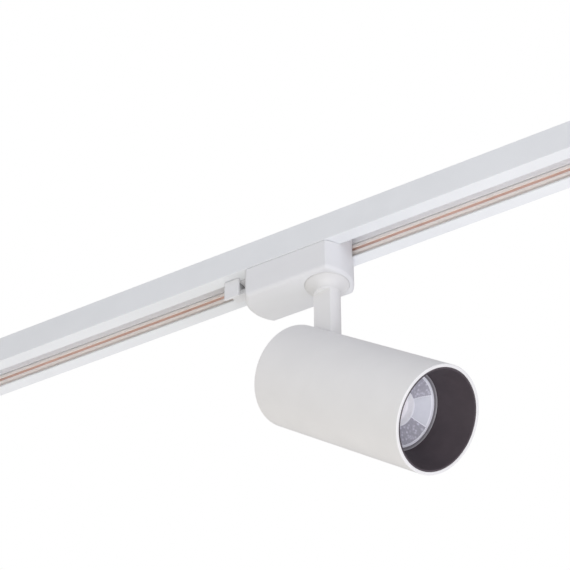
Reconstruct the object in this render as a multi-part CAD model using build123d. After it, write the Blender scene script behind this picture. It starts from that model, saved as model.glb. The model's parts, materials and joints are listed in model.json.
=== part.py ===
"""Track spotlight: a length of single-circuit lighting track with a cylindrical spotlight on its adapter.

Millimetres. The origin is the centre of the track's top (ceiling) face, +X runs along the track and +Z up.
The head parts are drawn along +X about the tilt pivot and then placed; the stem parts are drawn about the
swivel axis and then placed.
"""

from build123d import *
import os

os.makedirs("parts", exist_ok=True)

# ---- driving dimensions ------------------------------------------------------------------------------

# Track.
TRACK_LENGTH = 500.0
TRACK_WIDTH = 35.0
TRACK_HEIGHT = 20.0
WALL = 1.5
LIP = 1.0
SLOT_WIDTH = 16.5
RIB_INNER = 11.0
RIB_DEPTH = 6.8
PORT_Y = 13.6
PORT_Z = -4.1
PORT_RADIUS = 1.3
CEILING_SCREW_X = 200.0
CEILING_SCREW_RADIUS = 2.25

# Insulators and conductors.
INSULATOR_INNER = 10.5
INSULATOR_TOP = -7.6
INSULATOR_BOTTOM = -15.0
INSULATOR_LEG_INNER = 13.5
CONDUCTOR_TOP = -10.6
CONDUCTOR_BOTTOM = -13.0
CONDUCTOR_INNER = 11.0
CONDUCTOR_OUTER = 13.4

# Adapter.
SWIVEL_X = 50.0
ADAPTER_WIDTH = 34.4
ADAPTER_CORNER_LEFT = 0.1
ADAPTER_CORNER_RIGHT = 58.9
ADAPTER_END_RADIUS = 24.0
ADAPTER_TOP = -20.3
ADAPTER_BOTTOM = -41.7
ADAPTER_WALL = 1.8
ADAPTER_FLOOR = 2.0
ADAPTER_EDGE_RADIUS = 3.0
LID_THICKNESS = 2.0
NECK_HALF = 7.9
NECK_TOP = -5.0
NECK_LEFT = -11.2
NECK_GAP_LEFT = 14.0
NECK_GAP_RIGHT = 34.0
CONTACT_HEAD_X = 24.0
CONTACT_HEAD_RADIUS = 7.7
CONTACT_HEAD_TOP = -4.0
LUG_REACH = 13.2
LUG_WIDTH = 14.0
LUG_TOP = -15.6
LUG_BOTTOM = -18.9

# Release latch.
LATCH_LEFT = -20.0
LATCH_EAR_RIGHT = -9.0
LATCH_BRIDGE_RIGHT = -12.6
LATCH_FRONT = -12.2
LATCH_EAR_THICKNESS = 1.8
LATCH_TOP = -20.4
LATCH_BOTTOM = -34.0
LATCH_BRIDGE_BOTTOM = -23.4
LATCH_TONGUE_BOTTOM = -27.0
LATCH_TONGUE_END = 2.5
LATCH_TONGUE_HALF = 3.8
LATCH_KEY_TOP = -16.5
LATCH_KEY_HALF = 7.9
LATCH_TRAVEL = 4.0
SPRING_X = -1.0

# Swivel and stem.
DISC_RADIUS = 14.2
DISC_BOTTOM = -41.9
DISC_TOP = -39.3
FLARE_RADIUS = 14.0
FLARE_BOTTOM = -49.0
STEM_RADIUS = 8.5
STEM_FLAT = 5.5
STEM_FLAT_TOP = -49.5
NIPPLE_RADIUS = 5.0
NIPPLE_TOP = -28.6
NIPPLE_BOTTOM = -52.0
STOP_RING = 9.0
PAN = -7.5

# Head, measured along its own axis from the tilt pivot.
PIVOT_Z = -117.5
TILT = 35.0
HEAD_RADIUS = 32.5
HEAD_BORE = 30.5
HEAD_FRONT = 96.0
HEAD_BACK = -32.0
BAFFLE_FRONT = 95.7
BAFFLE_REAR = 70.0
BAFFLE_REAR_RADIUS = 24.0
HEATSINK_FRONT = 46.0
HEATSINK_REAR = 16.5
STEM_SLOT_HALF = 5.9
STEM_SLOT_REACH = 9.2
LENS_FRONT = 69.0
LENS_RIM = 23.0
PIVOT_BOLT_RADIUS = 2.5

# Screws.
M3_RADIUS = 1.5
M3_HEAD = 2.75

# ---- worked-out sizes --------------------------------------------------------------------------------

TRACK_END = TRACK_LENGTH / 2
CHANNEL_HALF = TRACK_WIDTH / 2 - WALL
TRACK_FLOOR = -TRACK_HEIGHT
ADAPTER_HALF = ADAPTER_WIDTH / 2
ADAPTER_END_DEPTH = (ADAPTER_END_RADIUS**2 - ADAPTER_HALF**2) ** 0.5
ADAPTER_INSIDE = ADAPTER_HALF - ADAPTER_WALL
ADAPTER_FLOOR_TOP = ADAPTER_BOTTOM + ADAPTER_FLOOR
LID_BOTTOM = ADAPTER_TOP - LID_THICKNESS
FLOOR_BOSS_TOP = ADAPTER_FLOOR_TOP + 3.5
SIDES = (-1, 1)


# ---- helpers -----------------------------------------------------------------------------------------

def block(x0, x1, y0, y1, z0, z1):
    """A box between two opposite corners."""
    size = Box(x1 - x0, y1 - y0, z1 - z0)
    return Pos((x0 + x1) / 2, (y0 + y1) / 2, (z0 + z1) / 2) * size


def column(radius, x, y, z0, z1):
    """A round bar that stands up along Z."""
    return Pos(x, y, (z0 + z1) / 2) * Cylinder(radius, z1 - z0)


def bar_x(radius, y, z, x0, x1):
    """A round bar along X."""
    return Pos((x0 + x1) / 2, y, z) * Rot(0, 90, 0) * Cylinder(radius, x1 - x0)


def bar_y(radius, x, z, y0, y1):
    """A round bar along Y."""
    return Pos(x, (y0 + y1) / 2, z) * Rot(90, 0, 0) * Cylinder(radius, y1 - y0)


def hex_column(across_flats, x, y, z0, z1):
    """A hexagonal bar along Z."""
    outline = RegularPolygon(across_flats / 2, 6, major_radius=False)
    return Pos(x, y, z0) * extrude(outline, amount=z1 - z0)


def adapter_block(inset, z0, z1):
    """The adapter's outline, straight sides with a shallow arc at each end, as a solid inset all round."""
    half = ADAPTER_HALF - inset
    radius = ADAPTER_END_RADIUS - inset
    depth = (radius**2 - half**2) ** 0.5
    left_centre = ADAPTER_CORNER_LEFT + ADAPTER_END_DEPTH
    right_centre = ADAPTER_CORNER_RIGHT - ADAPTER_END_DEPTH
    left, right = left_centre - depth, right_centre + depth
    outline = [Line((left, -half), (right, -half)),
               ThreePointArc((right, -half), (right_centre + radius, 0), (right, half)),
               Line((right, half), (left, half)),
               ThreePointArc((left, half), (left_centre - radius, 0), (left, -half))]
    return Pos(0, 0, z0) * extrude(make_face(outline), amount=z1 - z0)


def turned(points):
    """A solid turned about the X axis from (along, radius) points."""
    return revolve(Plane.XZ * make_face(Polyline(*points, close=True)), Axis.X)


def wire(points, radius, bend):
    """A round lead along straight runs joined by arcs."""
    path = FilletPolyline(*points, radius=bend)
    section = Plane(origin=path @ 0, z_dir=path % 0) * Circle(radius)
    return sweep(section, path=path)


def on_swivel(shape):
    """Place a piece that turns with the swivel."""
    return Pos(SWIVEL_X, 0, 0) * Rot(0, 0, PAN) * shape


def on_head(shape):
    """Place a piece of the head, drawn along +X from the tilt pivot."""
    return Pos(SWIVEL_X, 0, PIVOT_Z) * Rot(0, 0, PAN) * Rot(0, TILT, 0) * shape


def save(name, shape):
    """Write one node from its placed solids."""
    solids = shape.solids()
    export_step(solids[0] if len(solids) == 1 else Compound(solids), f"parts/{name}.step")


# ---- track -------------------------------------------------------------------------------------------

def track_rail():
    """Extruded channel that opens downwards, with two lips, screw ports and ceiling screw holes."""
    rail = block(-TRACK_END, TRACK_END, -TRACK_WIDTH / 2, TRACK_WIDTH / 2, TRACK_FLOOR, 0)
    rail -= block(-TRACK_END, TRACK_END, -CHANNEL_HALF, CHANNEL_HALF, TRACK_FLOOR + LIP, -WALL)
    rail -= block(-TRACK_END, TRACK_END, -SLOT_WIDTH / 2, SLOT_WIDTH / 2, TRACK_FLOOR, TRACK_FLOOR + LIP)
    for side in SIDES:
        low, high = sorted((side * RIB_INNER, side * CHANNEL_HALF))
        rail += block(-TRACK_END, TRACK_END, low, high, -RIB_DEPTH, -WALL)
        rail -= bar_x(PORT_RADIUS, side * PORT_Y, PORT_Z, -TRACK_END, TRACK_END)
        rail -= column(CEILING_SCREW_RADIUS, side * CEILING_SCREW_X, 0, -WALL, 0)
    return rail


def insulator(side):
    """White plastic strip that holds one conductor against the track wall."""
    low, high = sorted((side * INSULATOR_INNER, side * CHANNEL_HALF))
    strip = block(-TRACK_END, TRACK_END, low, high, INSULATOR_BOTTOM, INSULATOR_TOP)
    low, high = sorted((side * INSULATOR_LEG_INNER, side * CHANNEL_HALF))
    strip += block(-TRACK_END, TRACK_END, low, high, TRACK_FLOOR + LIP, -RIB_DEPTH)
    low, high = sorted((side * INSULATOR_INNER, side * CONDUCTOR_OUTER))
    strip -= block(-TRACK_END, TRACK_END, low, high, CONDUCTOR_BOTTOM, CONDUCTOR_TOP)
    return strip


def conductor(side):
    """Copper strip at the back of the insulator's groove."""
    low, high = sorted((side * CONDUCTOR_INNER, side * CONDUCTOR_OUTER))
    return block(-TRACK_END, TRACK_END, low, high, CONDUCTOR_BOTTOM, CONDUCTOR_TOP)


def end_cap():
    """Plate that closes the far end of the track, with a tongue in the channel."""
    plate = block(TRACK_END, TRACK_END + 3, -TRACK_WIDTH / 2, TRACK_WIDTH / 2, TRACK_FLOOR, 0)
    plate = fillet(plate.faces().sort_by(Axis.X)[-1].edges(), 1.0)
    plate += block(TRACK_END - 9, TRACK_END, -10.2, 10.2, -16, -3)
    for side in SIDES:
        plate -= bar_x(1.6, side * PORT_Y, PORT_Z, TRACK_END, TRACK_END + 3)
    return plate


def end_cap_screws():
    """Two screws into the rail's screw ports."""
    screws = []
    for side in SIDES:
        shank = bar_x(1.25, side * PORT_Y, PORT_Z, TRACK_END - 10, TRACK_END + 3)
        head = bar_x(2.4, side * PORT_Y, PORT_Z, TRACK_END + 3, TRACK_END + 4.6)
        recess = bar_x(1.0, side * PORT_Y, PORT_Z, TRACK_END + 3.8, TRACK_END + 4.6)
        screws.append(shank + head - recess)
    return Compound(screws)


# ---- live-end feed -----------------------------------------------------------------------------------

FEED_LENGTH = 50.0
FEED_LEFT = -TRACK_END - FEED_LENGTH
FEED_SHELL = 2.0
FEED_COVER_TOP = -18.4
FEED_BOSS_X = FEED_LEFT + 8
FEED_BOSS_Y = 12.0
FEED_BLADE_INNER = 10.4
FEED_BLADE_LOW = -12.5
FEED_BLADE_HIGH = -11.3
CABLE_BORE_RADIUS = 3.5
CABLE_BORE_Z = -13.5


def feed_inside(z0, z1):
    """The space inside the feed's shell between two heights."""
    half = TRACK_WIDTH / 2 - FEED_SHELL
    return block(FEED_LEFT + FEED_SHELL, -TRACK_END - FEED_SHELL, -half, half, z0, z1)


def feed_blade(side):
    """One brass blade, from the terminal block to the conductor."""
    low, high = sorted((side * FEED_BLADE_INNER, side * CONDUCTOR_INNER))
    return block(-TRACK_END - 20, -TRACK_END + 15, low, high, FEED_BLADE_LOW, FEED_BLADE_HIGH)


def feed_housing():
    """Shell of the live-end feed, open below, with a tongue in the channel and a cable entry."""
    shell = block(FEED_LEFT, -TRACK_END, -TRACK_WIDTH / 2, TRACK_WIDTH / 2, TRACK_FLOOR, 0)
    shell = fillet(shell.faces().sort_by(Axis.X)[0].edges(), 1.5)
    shell -= feed_inside(TRACK_FLOOR, -FEED_SHELL)
    shell += block(-TRACK_END, -TRACK_END + 16, -FEED_BLADE_INNER, FEED_BLADE_INNER, -16.5, -3)
    for side in SIDES:
        boss = column(2.8, FEED_BOSS_X, side * FEED_BOSS_Y, FEED_COVER_TOP, -FEED_SHELL)
        shell += boss
        shell -= column(1.25, FEED_BOSS_X, side * FEED_BOSS_Y, FEED_COVER_TOP, -8)
        shell -= feed_blade(side)
    shell -= bar_x(CABLE_BORE_RADIUS, 0, CABLE_BORE_Z, FEED_LEFT, FEED_LEFT + FEED_SHELL)
    return shell


def feed_cover():
    """Cover under the feed, with two countersunk screw holes."""
    cover = feed_inside(TRACK_FLOOR, FEED_COVER_TOP)
    for side in SIDES:
        cover -= column(2.5, FEED_BOSS_X, side * FEED_BOSS_Y, TRACK_FLOOR, TRACK_FLOOR + 1)
        cover -= column(1.5, FEED_BOSS_X, side * FEED_BOSS_Y, TRACK_FLOOR + 1, FEED_COVER_TOP)
    return cover


def feed_cover_screws():
    """Two screws through the cover into the feed's bosses."""
    screws = []
    for side in SIDES:
        y = side * FEED_BOSS_Y
        head = column(2.4, FEED_BOSS_X, y, TRACK_FLOOR, TRACK_FLOOR + 1)
        shank = column(1.25, FEED_BOSS_X, y, TRACK_FLOOR + 1, -9)
        recess = column(0.9, FEED_BOSS_X, y, TRACK_FLOOR, TRACK_FLOOR + 0.6)
        screws.append(head + shank - recess)
    return Compound(screws)


def feed_terminal_block():
    """Two-way terminal block with a wire port and a screw port for each way."""
    left = -TRACK_END - 34
    body = block(left, left + 16, -FEED_BLADE_INNER, FEED_BLADE_INNER, -14, -FEED_SHELL)
    for side in SIDES:
        body -= bar_x(1.8, side * 5, -9, left, left + 10)
        body -= column(1.7, left + 8, side * 5, -14, -9)
    return body


# ---- adapter -----------------------------------------------------------------------------------------

LID_SCREWS = [(4.0, -11.0), (4.0, 11.0), (36.5, -12.0), (36.5, 12.0)]
BOARD_LEFT = 7.0
BOARD_RIGHT = 33.6
BOARD_BOTTOM = -36.0
BOARD_TOP = -34.4
CONTACT_HALF_WIDTH = 2.5
CONTACT_LEG_INNER = 3.8
CONTACT_LEG_OUTER = 4.8
CONTACT_ARM_LOW = -12.4
CONTACT_ARM_HIGH = -11.4
CONTACT_TIP = 10.8
STOP_GROOVE_TOP = ADAPTER_FLOOR_TOP + 2.2


def adapter_housing():
    """Box with arched ends, open at the top, with the swivel seat in its floor and the latch's guide slot."""
    shell = adapter_block(0, ADAPTER_BOTTOM, ADAPTER_TOP)
    shell = fillet(shell.faces().sort_by(Axis.Z)[0].edges(), ADAPTER_EDGE_RADIUS)
    shell -= adapter_block(ADAPTER_WALL, ADAPTER_FLOOR_TOP, ADAPTER_TOP)
    boss = column(ADAPTER_INSIDE + 0.5, SWIVEL_X, 0, ADAPTER_FLOOR_TOP, FLOOR_BOSS_TOP)
    shell += boss & adapter_block(ADAPTER_WALL / 2, ADAPTER_FLOOR_TOP, FLOOR_BOSS_TOP)
    shell -= swivel_seat()
    for x, y in LID_SCREWS:
        post = column(2.6, x, y, ADAPTER_FLOOR_TOP, LID_BOTTOM)
        shell += post & adapter_block(ADAPTER_WALL / 2, ADAPTER_FLOOR_TOP, LID_BOTTOM)
        shell -= column(1.1, x, y, LID_BOTTOM - 8, LID_BOTTOM)
    for x in (BOARD_LEFT + 0.6, BOARD_RIGHT - 2.2):
        shell += block(x, x + 1.6, -12, 12, ADAPTER_FLOOR_TOP, BOARD_BOTTOM)
    guide = LATCH_TONGUE_HALF + 0.4
    guide_bottom = LATCH_TONGUE_BOTTOM - LATCH_TRAVEL - 0.4
    return shell - block(-9, -4.5, -guide, guide, guide_bottom, ADAPTER_TOP)


def swivel_seat():
    """The space for the disc, the nipple and the stop pin, whose ring groove is closed at the back."""
    seat_top = DISC_TOP + 0.2
    bore = NIPPLE_RADIUS + 0.1
    outline = [(0, ADAPTER_BOTTOM - 1), (DISC_RADIUS + 0.25, ADAPTER_BOTTOM - 1),
               (DISC_RADIUS + 0.25, seat_top), (STOP_RING + 1.4, seat_top),
               (STOP_RING + 1.4, STOP_GROOVE_TOP), (STOP_RING - 1.4, STOP_GROOVE_TOP),
               (STOP_RING - 1.4, seat_top), (bore, seat_top),
               (bore, FLOOR_BOSS_TOP + 1), (0, FLOOR_BOSS_TOP + 1)]
    seat = revolve(Plane.XZ * make_face(Polyline(*outline, close=True)), Axis.Z)
    stop = block(-STOP_RING - 2, -STOP_RING + 2, -0.5, 0.5, seat_top, STOP_GROOVE_TOP)
    return Pos(SWIVEL_X, 0, 0) * (seat - stop)


def adapter_lid():
    """Lid with a neck that fills the slot, and a contact head whose lugs hang on the track's lips."""
    lid = adapter_block(ADAPTER_WALL + 0.1, LID_BOTTOM, ADAPTER_TOP)
    neck = block(0, 70, -NECK_HALF, NECK_HALF, ADAPTER_TOP, NECK_TOP) & adapter_block(0.3, ADAPTER_TOP, NECK_TOP)
    neck += block(NECK_LEFT, 1, -NECK_HALF, NECK_HALF, ADAPTER_TOP, NECK_TOP)
    lid += neck - block(NECK_GAP_LEFT, NECK_GAP_RIGHT, -NECK_HALF, NECK_HALF, ADAPTER_TOP, NECK_TOP)
    lid += column(CONTACT_HEAD_RADIUS, CONTACT_HEAD_X, 0, ADAPTER_TOP, CONTACT_HEAD_TOP)
    half = LUG_WIDTH / 2
    lugs = block(CONTACT_HEAD_X - half, CONTACT_HEAD_X + half, -LUG_REACH, LUG_REACH, LUG_BOTTOM, LUG_TOP)
    lid += lugs & column(LUG_REACH, CONTACT_HEAD_X, 0, LUG_BOTTOM, LUG_TOP)
    for side in SIDES:
        lid -= contact_space(side)
    for x, y in LID_SCREWS:
        lid -= column(1.4, x, y, LID_BOTTOM, ADAPTER_TOP)
        lid -= column(2.4, x, y, ADAPTER_TOP - 0.9, ADAPTER_TOP)
    return lid


def contact_bar(side, gap, z_low):
    """An L of one contact: a leg down the contact head and an arm out to the conductor."""
    low, high = sorted((side * (CONTACT_LEG_INNER - gap), side * (CONTACT_LEG_OUTER + gap)))
    half = CONTACT_HALF_WIDTH + gap
    left, right = CONTACT_HEAD_X - half, CONTACT_HEAD_X + half
    leg = block(left, right, low, high, z_low, CONTACT_ARM_HIGH + gap)
    low, high = sorted((side * (CONTACT_LEG_INNER - gap), side * CONTACT_TIP))
    return leg + block(left, right, low, high, CONTACT_ARM_LOW - gap, CONTACT_ARM_HIGH + gap)


def contact_space(side):
    """The room that a contact has in the contact head."""
    return contact_bar(side, 0.1, LID_BOTTOM)


def contact(side):
    """Brass contact from the driver board to one conductor."""
    return contact_bar(side, 0.0, BOARD_TOP)


def lid_screws():
    """Four small screws that hold the lid."""
    screws = []
    for x, y in LID_SCREWS:
        head = column(2.3, x, y, ADAPTER_TOP - 0.9, ADAPTER_TOP - 0.05)
        shank = column(1.05, x, y, LID_BOTTOM - 7, ADAPTER_TOP - 0.9)
        recess = column(0.8, x, y, ADAPTER_TOP - 0.6, ADAPTER_TOP - 0.05)
        screws.append(head + shank - recess)
    return Compound(screws)


def driver_transformer():
    """Transformer core with its winding between two flanges."""
    core = block(8.5, 19.5, -12, -1, BOARD_TOP, BOARD_TOP + 9)
    core -= block(8.5, 19.5, -10, -7.6, BOARD_TOP + 2, BOARD_TOP + 7)
    return core - block(8.5, 19.5, -5.4, -3, BOARD_TOP + 2, BOARD_TOP + 7)


def output_terminal():
    """Two-way terminal for the leads to the head."""
    body = block(28.0, 34.0, -5, 5, BOARD_TOP, BOARD_TOP + 8)
    for side in SIDES:
        body -= bar_x(0.9, side, -29, 30.0, 34.0)
        body -= column(1.2, 31, side * 2.6, BOARD_TOP + 5, BOARD_TOP + 8)
    return body


def adapter_leads():
    """Two leads from the output terminal to the top of the swivel."""
    leads = []
    for side in SIDES:
        route = [(30.5, side, -29), (38, side, -29), (42, side, -25.4),
                 (SWIVEL_X, side, -25.4), (SWIVEL_X, side, -27.8)]
        leads.append(wire(route, 0.7, 1.2))
    return Compound(leads)


# ---- release latch -----------------------------------------------------------------------------------

def release_latch():
    """Spring latch: a key in the slot, an ear to pull at the front, and a tongue into the adapter."""
    latch = block(LATCH_LEFT, LATCH_BRIDGE_RIGHT, LATCH_FRONT, LATCH_KEY_HALF, LATCH_BRIDGE_BOTTOM, LATCH_TOP)
    latch += block(LATCH_LEFT, LATCH_BRIDGE_RIGHT, -LATCH_KEY_HALF, LATCH_KEY_HALF,
                   LATCH_TOP, LATCH_KEY_TOP)
    latch += block(LATCH_LEFT, LATCH_EAR_RIGHT, LATCH_FRONT, LATCH_FRONT + LATCH_EAR_THICKNESS,
                   LATCH_BOTTOM, LATCH_TOP)
    latch += block(LATCH_LEFT, LATCH_TONGUE_END, -LATCH_TONGUE_HALF, LATCH_TONGUE_HALF,
                   LATCH_TONGUE_BOTTOM, LATCH_BRIDGE_BOTTOM)
    return latch


def latch_spring():
    """Coil spring under the latch's tongue."""
    radius, wire_radius, turns = 2.2, 0.3, 6
    height = LATCH_TONGUE_BOTTOM - ADAPTER_FLOOR_TOP - 2 * wire_radius - 0.1
    path = Helix(height / turns, height, radius)
    section = Plane(origin=path @ 0, z_dir=path % 0) * Circle(wire_radius)
    coil = sweep(section, path=path, is_frenet=True)
    return Pos(SPRING_X, 0, ADAPTER_FLOOR_TOP + wire_radius + 0.05) * coil


# ---- swivel and stem ---------------------------------------------------------------------------------

STEM_BORE = 2.6
STOP_PIN_DEPTH = 1.6
STOP_PIN_RISE = 1.2
LEAD_EXIT_Z = -104.0


def swivel_disc():
    """Round plate that turns in the adapter's floor."""
    disc = column(DISC_RADIUS, 0, 0, DISC_BOTTOM, DISC_TOP)
    disc = chamfer(disc.faces().sort_by(Axis.Z)[0].edges(), 0.2)
    disc -= column(NIPPLE_RADIUS, 0, 0, DISC_BOTTOM, DISC_TOP)
    return disc - column(1.0, STOP_RING, 0, DISC_TOP - STOP_PIN_DEPTH, DISC_TOP)


def swivel_nipple():
    """Hollow threaded tube that ties the stem to the adapter."""
    tube = column(NIPPLE_RADIUS, 0, 0, NIPPLE_BOTTOM, NIPPLE_TOP)
    return tube - column(3.0, 0, 0, NIPPLE_BOTTOM, NIPPLE_TOP)


def swivel_washer():
    """Thrust washer between the nut and the adapter's floor."""
    washer = column(9.0, 0, 0, FLOOR_BOSS_TOP + 0.05, FLOOR_BOSS_TOP + 0.85)
    return washer - column(NIPPLE_RADIUS + 0.3, 0, 0, FLOOR_BOSS_TOP, FLOOR_BOSS_TOP + 1)


def swivel_nut():
    """Hexagon nut on the nipple."""
    nut = hex_column(15, 0, 0, FLOOR_BOSS_TOP + 0.85, FLOOR_BOSS_TOP + 4.85)
    return nut - column(NIPPLE_RADIUS, 0, 0, FLOOR_BOSS_TOP, FLOOR_BOSS_TOP + 5)


def flare():
    """Trumpet from the disc down to the stem's own radius."""
    height = DISC_BOTTOM - FLARE_BOTTOM
    curve = Spline((FLARE_RADIUS, DISC_BOTTOM - 0.4), (11.3, DISC_BOTTOM - 0.32 * height),
                   (9.5, DISC_BOTTOM - 0.6 * height), (STEM_RADIUS, FLARE_BOTTOM))
    edges = [Line((0, DISC_BOTTOM), (FLARE_RADIUS, DISC_BOTTOM)),
             Line((FLARE_RADIUS, DISC_BOTTOM), curve @ 0), curve,
             Line(curve @ 1, (0, FLARE_BOTTOM)), Line((0, FLARE_BOTTOM), (0, DISC_BOTTOM))]
    return revolve(Plane.XZ * make_face(edges), Axis.Z)


def stem():
    """Flared post with two flats below its collar, a bore for the leads and an eye for the pivot bolt."""
    post = column(STEM_RADIUS, 0, 0, PIVOT_Z - STEM_RADIUS, FLARE_BOTTOM)
    flats = block(-STEM_RADIUS, STEM_RADIUS, -STEM_FLAT, STEM_FLAT, PIVOT_Z, STEM_FLAT_TOP)
    flats += bar_y(STEM_RADIUS, 0, PIVOT_Z, -STEM_FLAT, STEM_FLAT)
    collar = column(STEM_RADIUS, 0, 0, STEM_FLAT_TOP, FLARE_BOTTOM)
    post = (post & (flats + collar)) + flare()
    post -= column(NIPPLE_RADIUS, 0, 0, NIPPLE_BOTTOM, DISC_BOTTOM)
    post -= column(STEM_BORE, 0, 0, LEAD_EXIT_Z - 2, NIPPLE_BOTTOM)
    post -= bar_x(2.0, 0, LEAD_EXIT_Z, -STEM_RADIUS, 0)
    return post - bar_y(PIVOT_BOLT_RADIUS + 0.1, 0, PIVOT_Z, -STEM_FLAT, STEM_FLAT)


def stem_leads():
    """Two leads down the stem and out at its back, just above the pivot."""
    leads = []
    for side in SIDES:
        route = [(0, side, NIPPLE_TOP + 0.2), (0, side, LEAD_EXIT_Z), (-STEM_RADIUS - 1, side, LEAD_EXIT_Z)]
        leads.append(wire(route, 0.7, 1.6))
    return Compound(leads)


# ---- head: casing ------------------------------------------------------------------------------------

REAR_CAP_FRONT = -29.5
TIE_Y = 19.0
TIE_Z = -12.0
HEATSINK_STEP = 40.0


def stem_space(x0, x1, z0, z1):
    """The room that the stem needs as the head tilts."""
    return block(x0, x1, -STEM_SLOT_HALF, STEM_SLOT_HALF, z0, z1)


def head_tube():
    """Tube with a shoulder for the heatsink, a shoulder for the rear cap and the stem's slot."""
    tube = turned([(HEAD_BACK, HEAD_RADIUS), (HEAD_FRONT, HEAD_RADIUS), (HEAD_FRONT, HEAD_BORE),
                   (HEATSINK_STEP, HEAD_BORE), (HEATSINK_STEP, 29.3), (HEATSINK_STEP - 2, 29.3),
                   (HEATSINK_STEP - 2, HEAD_BORE), (REAR_CAP_FRONT + 2, HEAD_BORE),
                   (REAR_CAP_FRONT + 2, 28.5), (REAR_CAP_FRONT, 28.5), (REAR_CAP_FRONT, HEAD_BORE),
                   (HEAD_BACK, HEAD_BORE)])
    rims = tube.edges().filter_by(GeomType.CIRCLE)
    rims = [edge for edge in rims if abs(edge.radius - HEAD_RADIUS) < 0.01]
    tube = fillet(rims, 0.5)
    return tube - stem_space(HEAD_BACK - 1, STEM_SLOT_REACH, 0, HEAD_RADIUS + 1)


def rear_cap():
    """Disc that closes the back, slotted for the stem."""
    cap = turned([(HEAD_BACK, 0), (HEAD_BACK, HEAD_BORE - 0.1), (REAR_CAP_FRONT, HEAD_BORE - 0.1),
                  (REAR_CAP_FRONT, 0)])
    cap -= stem_space(HEAD_BACK - 1, REAR_CAP_FRONT + 1, -STEM_SLOT_REACH, HEAD_RADIUS)
    for side in SIDES:
        cap -= bar_x(M3_RADIUS + 0.2, side * TIE_Y, TIE_Z, HEAD_BACK, REAR_CAP_FRONT)
        cap -= bar_x(M3_HEAD + 0.2, side * TIE_Y, TIE_Z, HEAD_BACK, HEAD_BACK + 1)
    return cap


def rear_cap_screws():
    """Two screws that pull the rear cap on to the tie rods."""
    screws = []
    for side in SIDES:
        y = side * TIE_Y
        head = bar_x(M3_HEAD, y, TIE_Z, HEAD_BACK, HEAD_BACK + 1)
        shank = bar_x(M3_RADIUS, y, TIE_Z, HEAD_BACK + 1, REAR_CAP_FRONT + 7)
        recess = bar_x(1.0, y, TIE_Z, HEAD_BACK, HEAD_BACK + 0.7)
        screws.append(head + shank - recess)
    return Compound(screws)


def tie_rods():
    """Two hexagon spacers between the rear cap and the heatsink."""
    rods = []
    for side in SIDES:
        rod = Rot(0, 90, 0) * hex_column(5.5, 0, 0, REAR_CAP_FRONT, HEATSINK_REAR + 1.5)
        rod = Pos(0, side * TIE_Y, TIE_Z) * rod
        rods.append(rod - bar_x(M3_RADIUS, side * TIE_Y, TIE_Z, REAR_CAP_FRONT, REAR_CAP_FRONT + 8))
    return Compound(rods)


# ---- head: tilt pivot --------------------------------------------------------------------------------

EAR_INNER = 6.1
EAR_OUTER = 8.6
BRACKET_PLATE = HEATSINK_REAR - 2.5
BRACKET_SCREW_Z = 5.5


def pivot_bracket():
    """Steel fork with an ear each side of the stem and a plate on the heatsink."""
    fork = block(0, HEATSINK_REAR, -EAR_OUTER, EAR_OUTER, -8, 8)
    fork += bar_y(8, 0, 0, -EAR_OUTER, EAR_OUTER)
    fork -= block(-9, BRACKET_PLATE, -EAR_INNER, EAR_INNER, -9, 9)
    fork -= bar_y(PIVOT_BOLT_RADIUS, 0, 0, -EAR_OUTER, EAR_OUTER)
    for side in SIDES:
        fork -= bar_x(M3_RADIUS, 0, side * BRACKET_SCREW_Z, BRACKET_PLATE, HEATSINK_REAR)
    return fork


def bracket_screws():
    """Two screws that hold the fork to the heatsink."""
    screws = []
    for side in SIDES:
        z = side * BRACKET_SCREW_Z
        head = bar_x(2.4, 0, z, BRACKET_PLATE - 2, BRACKET_PLATE)
        shank = bar_x(M3_RADIUS, 0, z, BRACKET_PLATE, HEATSINK_REAR + 8)
        recess = bar_x(1.1, 0, z, BRACKET_PLATE - 2, BRACKET_PLATE - 0.8)
        screws.append(head + shank - recess)
    return Compound(screws)


def pivot_bolt():
    """Cap screw on the tilt axis."""
    bolt = bar_y(PIVOT_BOLT_RADIUS, 0, 0, -13.5, EAR_OUTER)
    bolt += bar_y(4.25, 0, 0, EAR_OUTER, EAR_OUTER + 5)
    socket = RegularPolygon(2, 6, major_radius=False)
    socket = Plane(origin=(0, EAR_OUTER + 5, 0), z_dir=(0, -1, 0)) * socket
    return bolt - extrude(socket, amount=2.5)


def pivot_nut():
    """Hexagon nut that sets the tilt friction."""
    nut = Rot(90, 0, 0) * hex_column(8, 0, 0, EAR_OUTER, EAR_OUTER + 4)
    return nut - bar_y(PIVOT_BOLT_RADIUS, 0, 0, -14, -EAR_OUTER)


def friction_washers():
    """A washer between each ear and the stem."""
    washers = []
    for side in SIDES:
        low, high = sorted((side * (STEM_FLAT + 0.08), side * EAR_INNER))
        washers.append(bar_y(7.5, 0, 0, low, high) - bar_y(PIVOT_BOLT_RADIUS + 0.1, 0, 0, low, high))
    return Compound(washers)


# ---- head: light engine ------------------------------------------------------------------------------

FIN_THICKNESS = 1.6
FIN_PITCH = 4.0
FIN_FIRST = 13.0
FIN_COUNT = 4
LEAD_HOLE_Z = -24.0
COB_SCREW_Y = 15.0


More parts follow.
